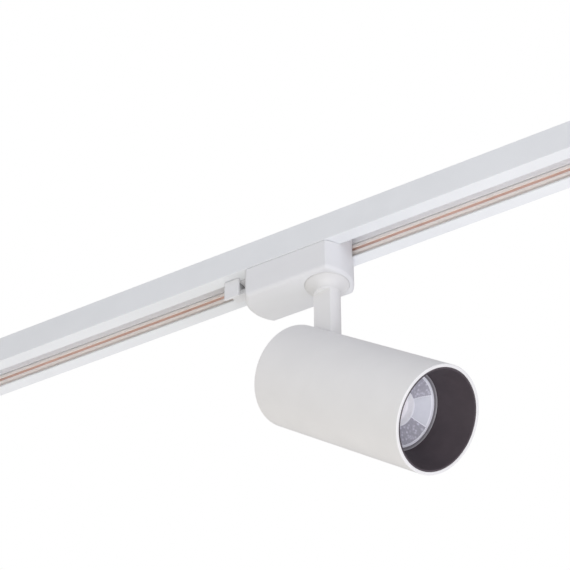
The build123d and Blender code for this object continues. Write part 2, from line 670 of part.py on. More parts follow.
def heatsink():
    """Round aluminium base with a core block, straight fins and two bosses for the tie rods."""
    body = bar_x(HEAD_BORE - 0.1, 0, 0, HEATSINK_STEP, HEATSINK_FRONT)
    body += block(HEATSINK_REAR, HEATSINK_STEP, -EAR_OUTER, EAR_OUTER, -10, 10)
    fin_space = bar_x(28.5, 0, 0, HEATSINK_REAR + 1.5, HEATSINK_STEP)
    for side in SIDES:
        for index in range(FIN_COUNT):
            middle = side * (FIN_FIRST + index * FIN_PITCH)
            low, high = middle - FIN_THICKNESS / 2, middle + FIN_THICKNESS / 2
            body += block(HEATSINK_REAR + 1.5, HEATSINK_STEP, low, high, -30, 30) & fin_space
        body += bar_x(4.0, side * TIE_Y, TIE_Z, HEATSINK_REAR + 1.5, HEATSINK_STEP)
        body -= bar_x(M3_RADIUS, 0, side * BRACKET_SCREW_Z, HEATSINK_REAR, HEATSINK_REAR + 9)
        body -= bar_x(M3_RADIUS, side * COB_SCREW_Y, 0, HEATSINK_FRONT - 5, HEATSINK_FRONT)
    return body - bar_x(2.5, 0, LEAD_HOLE_Z, HEATSINK_STEP, HEATSINK_FRONT)


def cob_board():
    """Square board of the light source."""
    return block(HEATSINK_FRONT, HEATSINK_FRONT + 1, -9.5, 9.5, -9.5, 9.5)


def led_phosphor():
    """Round light-emitting patch on the board."""
    return bar_x(7.2, 0, 0, HEATSINK_FRONT + 1, HEATSINK_FRONT + 1.5)


def cob_holder():
    """White ring that clamps the board and carries the lens."""
    ring = bar_x(20.0, 0, 0, HEATSINK_FRONT, HEATSINK_FRONT + 5)
    ring -= block(HEATSINK_FRONT, HEATSINK_FRONT + 1, -9.5, 9.5, -9.5, 9.5)
    ring -= bar_x(8.2, 0, 0, HEATSINK_FRONT + 1, HEATSINK_FRONT + 5)
    for side in SIDES:
        ring -= bar_x(M3_RADIUS, side * COB_SCREW_Y, 0, HEATSINK_FRONT, HEATSINK_FRONT + 5)
        ring -= bar_x(M3_HEAD, side * COB_SCREW_Y, 0, HEATSINK_FRONT + 3, HEATSINK_FRONT + 5)
    return ring


def cob_screws():
    """Two screws through the holder into the heatsink."""
    screws = []
    for side in SIDES:
        y = side * COB_SCREW_Y
        head = bar_x(M3_HEAD - 0.1, y, 0, HEATSINK_FRONT + 3, HEATSINK_FRONT + 4.8)
        shank = bar_x(M3_RADIUS, y, 0, HEATSINK_FRONT - 4.5, HEATSINK_FRONT + 3)
        recess = bar_x(1.0, y, 0, HEATSINK_FRONT + 3.8, HEATSINK_FRONT + 4.8)
        screws.append(head + shank - recess)
    return Compound(screws)


def lens():
    """Collimator lens with a dished front, a recess in its middle and a hollow for the light source."""
    back = HEATSINK_FRONT + 5
    return turned([(back, 7.0), (back, 9.8), (back + 7, 15.5), (LENS_FRONT - 3, 20.8),
                   (LENS_FRONT - 3, LENS_RIM), (LENS_FRONT, LENS_RIM), (LENS_FRONT, 21.2),
                   (LENS_FRONT - 0.5, 20.8), (LENS_FRONT - 4.7, 10.9), (LENS_FRONT - 4.7, 10.4),
                   (LENS_FRONT - 8, 8.9), (LENS_FRONT - 8, 0), (back + 6, 0), (back + 5, 6.0)])


def lens_ring():
    """Bezel that holds the lens by its flange."""
    seat = LENS_RIM + 0.2
    inner = LENS_RIM - 0.6
    return turned([(LENS_FRONT + 1, inner), (LENS_FRONT + 1, 30.3), (LENS_FRONT - 3, 30.3),
                   (LENS_FRONT - 3, seat), (LENS_FRONT, seat), (LENS_FRONT, inner)])


def baffle():
    """Dark cone that shades the lens, with a flange that clamps the bezel."""
    outer = HEAD_BORE - 0.05
    return turned([(BAFFLE_FRONT, 29.4), (BAFFLE_FRONT, outer), (BAFFLE_FRONT - 3.7, outer),
                   (BAFFLE_REAR + 1.5, BAFFLE_REAR_RADIUS + 1.6), (BAFFLE_REAR + 1.5, outer),
                   (BAFFLE_REAR, outer), (BAFFLE_REAR, BAFFLE_REAR_RADIUS)])


def head_leads():
    """Two leads from beside the pivot, under the core block and through the base to the holder."""
    leads = []
    for side in SIDES:
        y = side * 1.2
        route = [(4, y, -16), (15, y, LEAD_HOLE_Z), (HEATSINK_FRONT + 3, y, LEAD_HOLE_Z),
                 (HEATSINK_FRONT + 3, y, -20.1)]
        leads.append(wire(route, 0.7, 1.6))
    return Compound(leads)


# ---- write the nodes ---------------------------------------------------------------------------------

TRACK_PIECES = {
    "track_rail": track_rail(),
    "insulator_front": insulator(-1),
    "insulator_rear": insulator(1),
    "conductor_front": conductor(-1),
    "conductor_rear": conductor(1),
    "end_cap": end_cap(),
    "end_cap_screws": end_cap_screws(),
    "feed_housing": feed_housing(),
    "feed_cover": feed_cover(),
    "feed_cover_screws": feed_cover_screws(),
    "feed_terminal_block": feed_terminal_block(),
    "feed_contacts": Compound([feed_blade(side) for side in SIDES]),
}

ADAPTER_PIECES = {
    "adapter_housing": adapter_housing(),
    "adapter_lid": adapter_lid(),
    "lid_screws": lid_screws(),
    "line_contact": contact(-1),
    "neutral_contact": contact(1),
    "driver_board": block(BOARD_LEFT, BOARD_RIGHT, -13, 13, BOARD_BOTTOM, BOARD_TOP),
    "driver_transformer": driver_transformer(),
    "driver_capacitor": bar_x(4.0, 7, BOARD_TOP + 4, 8.5, 19.5),
    "output_terminal": output_terminal(),
    "adapter_leads": adapter_leads(),
    "release_latch": release_latch(),
    "latch_spring": latch_spring(),
}

SWIVEL_PIECES = {
    "swivel_disc": swivel_disc(),
    "swivel_stop_pin": column(1.0, STOP_RING, 0, DISC_TOP - STOP_PIN_DEPTH, DISC_TOP + STOP_PIN_RISE),
    "swivel_nipple": swivel_nipple(),
    "swivel_washer": swivel_washer(),
    "swivel_nut": swivel_nut(),
    "stem": stem(),
    "stem_leads": stem_leads(),
}

HEAD_PIECES = {
    "head_tube": head_tube(),
    "rear_cap": rear_cap(),
    "rear_cap_screws": rear_cap_screws(),
    "tie_rods": tie_rods(),
    "pivot_bracket": pivot_bracket(),
    "bracket_screws": bracket_screws(),
    "pivot_bolt": pivot_bolt(),
    "pivot_nut": pivot_nut(),
    "friction_washers": friction_washers(),
    "heatsink": heatsink(),
    "cob_board": cob_board(),
    "led_phosphor": led_phosphor(),
    "cob_holder": cob_holder(),
    "cob_screws": cob_screws(),
    "lens": lens(),
    "lens_ring": lens_ring(),
    "baffle": baffle(),
    "head_leads": head_leads(),
}

for name, shape in {**TRACK_PIECES, **ADAPTER_PIECES}.items():
    save(name, shape)
for name, shape in SWIVEL_PIECES.items():
    save(name, on_swivel(shape))
for name, shape in HEAD_PIECES.items():
    save(name, on_head(shape))
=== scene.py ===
"""Looks of the track spotlight: its visible pieces in rounded mesh detail, materials, light and camera.

Pieces are drawn in millimetres in their own frame (track, swivel or head) and placed in metres by a matrix.
"""
import json
from math import atan2, ceil, cos, hypot, pi, radians, sin, sqrt, tan

import bmesh
import bpy
from mathutils import Matrix, Vector


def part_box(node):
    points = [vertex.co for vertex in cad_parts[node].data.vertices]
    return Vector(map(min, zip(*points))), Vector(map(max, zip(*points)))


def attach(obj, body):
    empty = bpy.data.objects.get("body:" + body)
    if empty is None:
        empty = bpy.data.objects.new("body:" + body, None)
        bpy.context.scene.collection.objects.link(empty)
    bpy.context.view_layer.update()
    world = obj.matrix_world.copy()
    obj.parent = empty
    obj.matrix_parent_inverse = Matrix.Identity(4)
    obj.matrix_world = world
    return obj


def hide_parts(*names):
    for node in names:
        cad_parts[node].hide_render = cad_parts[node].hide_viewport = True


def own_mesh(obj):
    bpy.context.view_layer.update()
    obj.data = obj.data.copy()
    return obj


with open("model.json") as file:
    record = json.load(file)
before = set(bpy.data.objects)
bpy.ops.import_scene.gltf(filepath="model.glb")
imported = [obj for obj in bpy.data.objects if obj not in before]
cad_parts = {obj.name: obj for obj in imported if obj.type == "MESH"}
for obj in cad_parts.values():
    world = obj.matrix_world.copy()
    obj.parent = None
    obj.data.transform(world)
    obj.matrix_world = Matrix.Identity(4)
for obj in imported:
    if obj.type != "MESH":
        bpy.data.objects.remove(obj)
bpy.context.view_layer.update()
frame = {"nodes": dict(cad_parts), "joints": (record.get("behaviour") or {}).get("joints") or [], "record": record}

MM = 0.001
RECORD = frame["record"]
CAD = frame["nodes"]
BODY_OF = {node: body for body, nodes in RECORD["behaviour"]["bodies"].items() for node in nodes}
JOINTS = {joint["name"]: joint for joint in frame["joints"]}
SIDES = (-1, 1)

# ---- frames ------------------------------------------------------------------------------------------

SWIVEL_POINT = Vector(JOINTS["swivel_pan"]["pos_m"])
PIVOT_POINT = Vector(JOINTS["head_tilt"]["pos_m"])
TILT_AXIS = Vector(JOINTS["head_tilt"]["axis"]).normalized()
HEAD_TILT = radians(35)
FORWARD = TILT_AXIS.cross(Vector((0, 0, 1)))


def placing(origin, x_axis, y_axis):
    """The matrix from a piece's own millimetres to metres in the row frame."""
    z_axis = x_axis.cross(y_axis)
    turn = Matrix((x_axis, y_axis, z_axis)).transposed().to_4x4()
    return Matrix.Translation(origin) @ turn @ Matrix.Scale(MM, 4)


ON_TRACK = placing(Vector(), Vector((1, 0, 0)), Vector((0, 1, 0)))
ON_SWIVEL = placing(Vector((SWIVEL_POINT.x, 0, 0)), FORWARD, TILT_AXIS)
HEAD_AXIS = FORWARD * cos(HEAD_TILT) - Vector((0, 0, 1)) * sin(HEAD_TILT)
ON_HEAD = placing(PIVOT_POINT, HEAD_AXIS, TILT_AXIS)

# Turns that lay a shape drawn in the XY plane, with its height along Z, along another axis.
UP_TO_X = Matrix(((0, 0, 1), (1, 0, 0), (0, 1, 0))).to_4x4()
UP_TO_Y = Matrix(((0, 1, 0), (0, 0, 1), (1, 0, 0))).to_4x4()

# ---- sizes, in millimetres ---------------------------------------------------------------------------


def span(node, axis):
    """The lowest and highest coordinate of a CAD node along one axis, in millimetres."""
    low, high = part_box(node)
    return low[axis] / MM, high[axis] / MM


TRACK_LEFT, TRACK_RIGHT = span("track_rail", 0)
TRACK_HALF = span("track_rail", 1)[1]
TRACK_FLOOR = span("track_rail", 2)[0]
WALL = 1.5
CHANNEL_HALF = TRACK_HALF - WALL
LIP = 1.0
SLOT_HALF = 8.25
RIB_INNER = 11.0
RIB_BOTTOM = -6.8
PORT_RADIUS = 1.3
PORT_Y = 13.6
PORT_Z = -4.1
CEILING_SCREW_X = 200.0
CEILING_SCREW_RADIUS = 2.25
STRIP_INNER, STRIP_OUTER = 10.5, 13.5
STRIP_BOTTOM, STRIP_TOP = -15.0, -7.6
GROOVE_BOTTOM, GROOVE_TOP = -13.0, -10.6
BAR_INNER, BAR_OUTER = 11.0, 13.4

ADAPTER_HALF = span("adapter_housing", 1)[1]
ADAPTER_BOTTOM, ADAPTER_TOP = span("adapter_housing", 2)
ADAPTER_CORNER_LEFT, ADAPTER_CORNER_RIGHT = 0.1, 58.9
ADAPTER_END_RADIUS = 24.0
ADAPTER_ROLLED_EDGE = 3.0
ADAPTER_SIDE_WALL = 1.8
ADAPTER_BASE = 2
BOSS_RADIUS = 15.8
BOSS_TOP = ADAPTER_BOTTOM + 5.5
NIPPLE_BORE = 5.1
LATCH_SLOT_LEFT, LATCH_SLOT_RIGHT = -9, -4.5
LATCH_SLOT_HALF = 4.2
LATCH_SLOT_BOTTOM = -31.4

SWIVEL_X = SWIVEL_POINT.x / MM
DISC_RADIUS = 14.2
DISC_BORE = 5.0
DISC_BOTTOM, DISC_TOP = span("swivel_disc", 2)
SEAT_GAP = 0.1
FLARE_RADIUS = 14.0
FLARE_BOTTOM = -49.0
STEM_RADIUS = 8.5
STEM_FLAT = 5.5
STEM_FLAT_TOP = -49.5
NIPPLE_SOCKET, NIPPLE_SOCKET_BOTTOM = 5, -52
LEAD_BORE, LEAD_BORE_BOTTOM, LEAD_BORE_TOP = 2.6, -106, -50
LEAD_EXIT, LEAD_EXIT_Z = 2.0, -104
PIVOT_BORE = 2.6
PIVOT_Z = PIVOT_POINT.z / MM

HEAD_RADIUS = 32.5
HEAD_BORE = 30.5
HEAD_BACK, HEAD_FRONT = -32.0, 96.0
CAP_FRONT = -29.5
CAP_SHOULDER_FRONT, CAP_SHOULDER_RADIUS = -27.5, 28.5
SINK_SHOULDER_BACK, SINK_SHOULDER_FRONT, SINK_SHOULDER_RADIUS = 38.0, 40.0, 29.3
CAP_SCREW_Y, CAP_SCREW_Z = 19, -12
CAP_SCREW_RADIUS = 1.7
CAP_RECESS_RADIUS = 2.95
BAFFLE_REAR, BAFFLE_FRONT = 70.0, 95.7
BAFFLE_REAR_RADIUS = 24.0
BAFFLE_LIP_RADIUS = 29.4
BAFFLE_LIP_LENGTH = 3.7
BAFFLE_FLANGE = 1.5
BEAD_RADIUS = 23.7
BEZEL_OUTER = 30.3
STEM_SLOT_HALF = 5.9
STEM_SLOT_REACH = 9.2

LENS_BACK, LENS_FRONT = 51.0, 69.0
LENS_OUTER = 23.0
LENS_RIM = 21.0
LENS_CENTRE = 10.9
CONE_FOOT = 64.35
CONE_RISE = 4.25
WELL_RADIUS = 10.2
WELL_FLOOR = 61.0
WELL_SIDE = 1.6
SMOOTH_FIRST = radians(-5)
SMOOTH_WIDTH = radians(54.5)
SMOOTH_WIDENING = radians(0.7)
SECTOR_PAIR = radians(120)
SMOOTH_RISE = 0.3
SMOOTH_OUTER_BAND = 0.7
BORDER = 0.45
DIMPLE_PITCH = 1.75
DIMPLE_DEPTH = 0.13
DIMPLE_WANDER = 0.3
LENS_SEGMENTS = 432
LENS_FINE_RINGS = 44

# ---- floor, light and camera, in metres, watts and degrees -------------------------------------------

FLOOR_Z = -1.6
FLOOR_HALF_MM = 6000
FLOOR_GLOW = 0.45
WORLD_LIGHT = (0.545, 0.535, 0.543)
BACKDROP = (1.0, 1.0, 1.0)

# Each softbox: its name, place, width, colour and power.
LIGHTS = [
    ("camera_side", (0.66, -1.02, -1.31), 1.4, (1.0, 1.0, 1.0), 12.2),
    ("camera_low", (0.0, -1.35, -1.1), 1.4, (1.0, 1.0, 0.86), 3.0),
    ("far_below", (-0.75, 1.25, -1.2), 1.4, (0.95, 1.0, 1.0), 4.1),
    ("below_right", (1.2, 0.0, -1.2), 1.0, (0.82, 0.83, 1.0), 6.9),
    ("below", (0.0, 0.0, -1.5), 1.4, (1.0, 0.8, 0.5), 1.2),
    ("high_front", (0.6, -1.3, 0.9), 1.4, (0.66, 0.76, 1.0), 3.6),
    ("back", (0.0, 1.8, -0.2), 1.4, (1.0, 1.0, 1.0), 2.4),
    ("far_left", (-1.5, 0.8, -0.5), 1.4, (1.0, 0.92, 0.75), 1.9),
]

CAMERA_PLACE = (0.5345, -0.8273, -0.7397)
CAMERA_YAW = 31.94
CAMERA_PITCH = 36.08
CAMERA_LENS = 118.68

# ---- mesh helpers ------------------------------------------------------------------------------------

ARC_STEP = radians(15)
CLOSE = 0.002


def outline(corners):
    """A closed outline from corners (x, y, radius), each turned into an arc of that radius."""
    points = []
    for index, (x, y, radius) in enumerate(corners):
        here = Vector((x, y))
        if radius <= 0:
            points.append(here)
            continue
        before = (Vector(corners[index - 1][:2]) - here).normalized()
        after = (Vector(corners[(index + 1) % len(corners)][:2]) - here).normalized()
        half = before.angle(after) / 2
        centre = here + (before + after).normalized() * radius / sin(half)
        start = here + before * radius / tan(half) - centre
        end = here + after * radius / tan(half) - centre
        first = atan2(start.y, start.x)
        turn = (atan2(end.y, end.x) - first + pi) % (2 * pi) - pi
        count = max(2, ceil(abs(turn) / ARC_STEP))
        for part in range(count + 1):
            angle = first + turn * part / count
            points.append(centre + radius * Vector((cos(angle), sin(angle))))
    return points


def circle(radius, x, y, count):
    """A round outline."""
    return [Vector((x + radius * cos(2 * pi * k / count), y + radius * sin(2 * pi * k / count)))
            for k in range(count)]


def adapter_outline(inward, corner=0.7):
    """The adapter's outline moved inwards: straight sides, an arc at each end and small round corners."""
    steps, corner_steps = 36, 4
    depth = sqrt(ADAPTER_END_RADIUS ** 2 - ADAPTER_HALF ** 2)
    reach = ADAPTER_END_RADIUS - inward - corner
    height = ADAPTER_HALF - inward - corner
    aside = sqrt(reach ** 2 - height ** 2)
    swing = atan2(height, aside)
    points = []
    for side, centre in ((1, ADAPTER_CORNER_RIGHT - depth), (-1, ADAPTER_CORNER_LEFT + depth)):
        for k in range(corner_steps + 1):
            angle = -pi / 2 + (pi / 2 - swing) * k / corner_steps
            along = aside + corner * cos(angle)
            points.append((centre + side * along, side * (corner * sin(angle) - height)))
        for k in range(1, steps):
            angle = swing * (2 * k / steps - 1)
            end = reach + corner
            points.append((centre + side * end * cos(angle), side * end * sin(angle)))
        for k in range(corner_steps + 1):
            angle = swing + (pi / 2 - swing) * k / corner_steps
            along = aside + corner * cos(angle)
            points.append((centre + side * along, side * (corner * sin(angle) + height)))
    return [Vector(point) for point in points]


def rectangle(x0, x1, y0, y1, radius=0.0):
    """A rectangle with rounded corners."""
    return outline([(x0, y0, radius), (x1, y0, radius), (x1, y1, radius), (x0, y1, radius)])


def inset(points, distance):
    """A closed anticlockwise outline moved inwards."""
    moved = []
    for index, here in enumerate(points):
        before = (here - points[index - 1]).normalized()
        after = (points[(index + 1) % len(points)] - here).normalized()
        normal = Vector((-(before.y + after.y), before.x + after.x)).normalized()
        stretch = max(0.35, normal.dot(Vector((-before.y, before.x))))
        moved.append(here + normal * distance / stretch)
    return moved


def bridge(mesh, lower, upper):
    """Faces between two rings of vertices, either of which may be a single vertex."""
    count = max(len(lower), len(upper))
    for k in range(count):
        after = (k + 1) % count
        if len(lower) == 1:
            mesh.faces.new((lower[0], upper[after], upper[k]))
        elif len(upper) == 1:
            mesh.faces.new((lower[k], lower[after], upper[0]))
        else:
            mesh.faces.new((lower[k], lower[after], upper[after], upper[k]))


def prism(points, low, high, low_round=0.0, high_round=0.0, steps=4):
    """A solid of an anticlockwise outline, or a function of its inset, between two heights, rims rounded."""
    levels = []
    for k in range(steps + 1 if low_round else 1):
        angle = pi / 2 * k / steps
        levels.append((low_round * (1 - sin(angle)), low + low_round * (1 - cos(angle))))
    for k in range(steps + 1 if high_round else 1):
        angle = pi / 2 * (1 - k / steps)
        levels.append((high_round * (1 - sin(angle)), high - high_round * (1 - cos(angle))))
    mesh = bmesh.new()
    rings = []
    for amount, height in levels:
        ring = points(amount) if callable(points) else inset(points, amount)
        rings.append([mesh.verts.new((p.x, p.y, height)) for p in ring])
    for lower, upper in zip(rings, rings[1:]):
        bridge(mesh, lower, upper)
    mesh.faces.new(list(reversed(rings[0])))
    mesh.faces.new(rings[-1])
    return mesh


def lathe(points, segments=192, closed=True):
    """A solid turned about X from (along, radius) points; an open profile starts and ends on the axis."""
    mesh = bmesh.new()
    rings = []
    for along, radius in points:
        if radius < 1e-6:
            rings.append([mesh.verts.new((along, 0, 0))])
            continue
        rings.append([mesh.verts.new((along, radius * cos(2 * pi * k / segments),
                                      radius * sin(2 * pi * k / segments))) for k in range(segments)])
    pairs = list(zip(rings, rings[1:]))
    if closed:
        pairs.append((rings[-1], rings[0]))
    for lower, upper in pairs:
        bridge(mesh, lower, upper)
    return mesh


def moved(mesh, matrix):
    """The same mesh, turned or shifted."""
    bmesh.ops.transform(mesh, matrix=matrix, verts=mesh.verts)
    return mesh


def as_object(mesh, name="tool"):
    """A mesh as a scene object, with its faces turned outwards."""
    bmesh.ops.recalc_face_normals(mesh, faces=mesh.faces)
    data = bpy.data.meshes.new(name)
    mesh.to_mesh(data)
    mesh.free()
    made = bpy.data.objects.new(name, data)
    bpy.context.scene.collection.objects.link(made)
    return made


def combined(body, tools, operation):
    """The body with each tool cut away, joined or kept in common, as a new mesh."""
    whole = as_object(body)
    cutters = [as_object(tool) for tool in tools]
    for cutter in cutters:
        step = whole.modifiers.new("step", "BOOLEAN")
        step.operation = operation
        step.solver = "EXACT"
        step.object = cutter
    shaped = whole.evaluated_get(bpy.context.evaluated_depsgraph_get())
    result = bmesh.new()
    result.from_mesh(shaped.to_mesh())
    for used in [whole, *cutters]:
        data = used.data
        bpy.data.objects.remove(used)
        bpy.data.meshes.remove(data)
    return result


def carved(body, *tools):
    """The body with the tools cut away."""
    return combined(body, tools, "DIFFERENCE")


def joined(body, *tools):
    """The body with the tools joined to it."""
    return combined(body, tools, "UNION")


def softened(mesh, width, angle=35):
    """The mesh with its sharp edges rounded."""
    bmesh.ops.remove_doubles(mesh, verts=mesh.verts, dist=CLOSE)
    bmesh.ops.dissolve_limit(mesh, angle_limit=radians(0.4), verts=mesh.verts, edges=mesh.edges)
    sharp = [edge for edge in mesh.edges
             if len(edge.link_faces) == 2 and edge.calc_face_angle(0) > radians(angle)]
    bmesh.ops.bevel(mesh, geom=sharp, offset=width, offset_type="OFFSET", segments=2,
                    profile=0.5, affect="EDGES", clamp_overlap=True)
    return mesh


def from_cad(node):
    """A CAD node's own mesh in the track's millimetres, its seams closed."""
    mesh = bmesh.new()
    mesh.from_mesh(CAD[node].data)
    moved(mesh, ON_TRACK.inverted())
    bmesh.ops.remove_doubles(mesh, verts=mesh.verts, dist=CLOSE)
    return mesh


def piece(name, mesh, material, *nodes, place=ON_TRACK, angle=32, zones=()):
    """A finished piece that replaces CAD nodes and rides on their body; a zone is a material and its test."""
    made = as_object(mesh, name)
    made.data.materials.append(material)
    for index, (extra, belongs) in enumerate(zones, start=1):
        made.data.materials.append(extra)
        for face in made.data.polygons:
            if belongs(face):
                face.material_index = index
    made.data.transform(place)
    made.data.shade_smooth()
    made.data.set_sharp_from_angle(angle=radians(angle))
    normals = made.modifiers.new("even_normals", "WEIGHTED_NORMAL")
    normals.keep_sharp = True
    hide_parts(*nodes)
    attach(made, BODY_OF[nodes[0]])
    return made


# ---- materials ---------------------------------------------------------------------------------------


class Finish:
    """A material's node tree, with short calls for its patterns."""

    def __init__(self, name, roughness, metallic=0.0):
        self.material = bpy.data.materials.new(name)
        self.material.use_nodes = True
        self.tree = self.material.node_tree
        self.shader = self.tree.nodes["Principled BSDF"]
        self.shader.inputs["Roughness"].default_value = roughness
        self.shader.inputs["Metallic"].default_value = metallic
        self.place = self.tree.nodes.new("ShaderNodeTexCoord").outputs["Object"]

    def set(self, **values):
        """Uniform values on the shader's own sockets."""
        for name, value in values.items():
            self.shader.inputs[name.replace("_", " ")].default_value = value
        return self

    def link(self, output, name):
        """A pattern into one of the shader's sockets."""
        self.tree.links.new(output, self.shader.inputs[name])
        return self

    def noise(self, size, detail=3.0, stretch=(1, 1, 1)):
        """Noise whose features are about size millimetres, longer where stretch is more than one."""
        mapping = self.tree.nodes.new("ShaderNodeMapping")
        mapping.inputs["Scale"].default_value = [1 / part for part in stretch]
        self.tree.links.new(self.place, mapping.inputs["Vector"])
        noise = self.tree.nodes.new("ShaderNodeTexNoise")
        noise.inputs["Scale"].default_value = 1 / (size * MM)
        noise.inputs["Detail"].default_value = detail
        self.tree.links.new(mapping.outputs["Vector"], noise.inputs["Vector"])
        return noise.outputs["Fac"]

    def cells(self, size, feature="F1"):
        """Round cells about size millimetres across."""
        cells = self.tree.nodes.new("ShaderNodeTexVoronoi")
        cells.feature = feature
        cells.inputs["Scale"].default_value = 1 / (size * MM)
        self.tree.links.new(self.place, cells.inputs["Vector"])
        return cells.outputs["Distance"]

    def ramp(self, pattern, low, high, start=0.3, end=0.7):
        """A pattern turned into a colour between two colours, or a grey between two numbers."""
        ramp = self.tree.nodes.new("ShaderNodeValToRGB")
        for element, place, value in zip(ramp.color_ramp.elements, (start, end), (low, high)):
            element.position = place
            element.color = (value, value, value, 1) if isinstance(value, float) else (*value, 1)
        self.tree.links.new(pattern, ramp.inputs["Fac"])
        return ramp.outputs["Color"]

    def colour(self, pattern, low, high, start=0.3, end=0.7):
        """The base colour, varied between two colours by a pattern."""
        return self.link(self.ramp(pattern, low, high, start, end), "Base Color")

    def rough(self, pattern, low, high):
        """The roughness, varied between two values by a pattern."""
        return self.link(self.ramp(pattern, low, high), "Roughness")

    def bump(self, *layers):
        """Relief from (pattern, depth in millimetres) layers, the broad ones first."""
        normal = None
        for pattern, depth in layers:
            bump = self.tree.nodes.new("ShaderNodeBump")
            bump.inputs["Distance"].default_value = depth * MM
            self.tree.links.new(pattern, bump.inputs["Height"])
            if normal:
                self.tree.links.new(normal, bump.inputs["Normal"])
            normal = bump.outputs["Normal"]
        return self.link(normal, "Normal")


def powder_coat(name, low, high, roughness, grain, depth):
    """Sprayed and baked coat: a fine orange peel, a finer grain and a faint cloudiness."""
    finish = Finish(name, roughness)
    finish.colour(finish.noise(28), low, high)
    finish.rough(finish.noise(6), roughness - 0.05, roughness + 0.05)
    finish.bump((finish.noise(grain * 3), depth), (finish.noise(grain), depth * 0.5))
    return finish.material


def moulded(name, low, high, roughness):
    """Moulded plastic with a spark-eroded grain and faint flow marks."""
    finish = Finish(name, roughness)
    finish.colour(finish.noise(16, 2, (3, 1, 1)), low, high)
    finish.rough(finish.noise(4), roughness - 0.04, roughness + 0.05)
    finish.bump((finish.noise(0.35), 0.006))
    return finish.material


def drawn_metal(name, low, high, roughness, axis, grain=0.12):
    """Metal with drawing or brushing lines along one axis and a little tarnish."""
    stretch = [60 if index == axis else 1 for index in range(3)]
    finish = Finish(name, roughness, 1.0)
    lines = finish.noise(grain, 4, stretch)
    finish.colour(finish.noise(9, 4, [4 if index == axis else 1 for index in range(3)]), low, high)
    finish.rough(lines, roughness - 0.1, roughness + 0.12)
    finish.bump((lines, 0.006))
    return finish.material


def plated_steel(name, low, high, roughness):
    """Zinc-plated steel: a mottled sheen with small spangles."""
    finish = Finish(name, roughness, 1.0)
    finish.colour(finish.noise(1.6, 5), low, high)
    finish.rough(finish.cells(0.8), roughness - 0.08, roughness + 0.1)
    finish.bump((finish.noise(0.25), 0.004))
    return finish.material


def light_baffle():
    """Matt dark coat inside the head, warm grey, with a soft grain."""
    finish = Finish("baffle_coat", 0.62)
    finish.set(Specular_IOR_Level=0.35)
    finish.colour(finish.noise(14), (0.068, 0.055, 0.064), (0.082, 0.066, 0.076))
    finish.rough(finish.noise(5), 0.56, 0.68)
    finish.bump((finish.noise(1.1), 0.012), (finish.noise(0.3), 0.008))
    return finish.material


def optic(name, low, high, roughness=0.2):
    """Clear moulded optic over its pale cone, drawn opaque: a soft body colour, which is painted reflection in
    place of the light the clear optic reflects and lets through, under a polished skin.
    """
    finish = Finish(name, roughness)
    finish.set(IOR=1.49)
    finish.colour(finish.noise(4), low, high)
    finish.rough(finish.noise(1.5), roughness - 0.05, roughness + 0.06)
    finish.bump((finish.noise(1.2), 0.006))
    return finish.material


def hammered_optic():
    """The optic's textured sectors: a greyer painted reflection, with a painted glint as a paler spot in the
    middle of many cells.
    """
    finish = Finish("optic_hammered_glints", 0.24)
    finish.set(IOR=1.49)
    # Painted highlight: each cell is paler towards its middle, a glint in each dimple.
    finish.colour(finish.cells(2.1), (0.66, 0.65, 0.73), (0.42, 0.41, 0.465), 0.08, 0.5)
    finish.rough(finish.noise(1.0), 0.18, 0.32)
    finish.bump((finish.cells(1.1), 0.03), (finish.noise(0.5), 0.012))
    return finish.material


def phosphor():
    """Silicone phosphor patch with a fine grain."""
    finish = Finish("phosphor", 0.5)
    finish.colour(finish.noise(0.5), (0.92, 0.80, 0.42), (0.96, 0.86, 0.52))
    finish.bump((finish.noise(0.3), 0.01))
    return finish.material


def solder_mask():
    """Green board with faint copper tracks under the mask."""
    finish = Finish("solder_mask", 0.35)
    tracks = finish.cells(3.2, "DISTANCE_TO_EDGE")
    finish.colour(tracks, (0.03, 0.14, 0.07), (0.05, 0.22, 0.11), 0.1, 0.16)
    finish.rough(finish.noise(0.8), 0.3, 0.42)
    finish.bump((tracks, 0.02))
    return finish.material


def tape_wrap():
    """Yellow tape over a winding, with its wound edges."""
    finish = Finish("tape_wrap", 0.4)
    finish.colour(finish.noise(1.2, 3, (1, 1, 12)), (0.62, 0.42, 0.08), (0.78, 0.56, 0.14))
    finish.rough(finish.noise(2), 0.3, 0.5)
    finish.bump((finish.noise(0.6, 2, (20, 1, 20)), 0.03))
    return finish.material


WHITE_COAT = powder_coat("head_coat", (0.82, 0.815, 0.81), (0.85, 0.845, 0.84), 0.42, 0.35, 0.010)
TRACK_COAT = powder_coat("track_coat", (0.808, 0.824, 0.84), (0.838, 0.854, 0.87), 0.34, 0.30, 0.006)
# Painted shade: a darker copy of the white coat, for the swivel disc and the stem's flare.
SWIVEL_PAINTED_SHADE = powder_coat("swivel_painted_shade", (0.76, 0.755, 0.75), (0.79, 0.785, 0.78), 0.42, 0.35, 0.010)
WHITE_PLASTIC = moulded("white_plastic_moulded", (0.79, 0.793, 0.805), (0.82, 0.823, 0.835), 0.45)
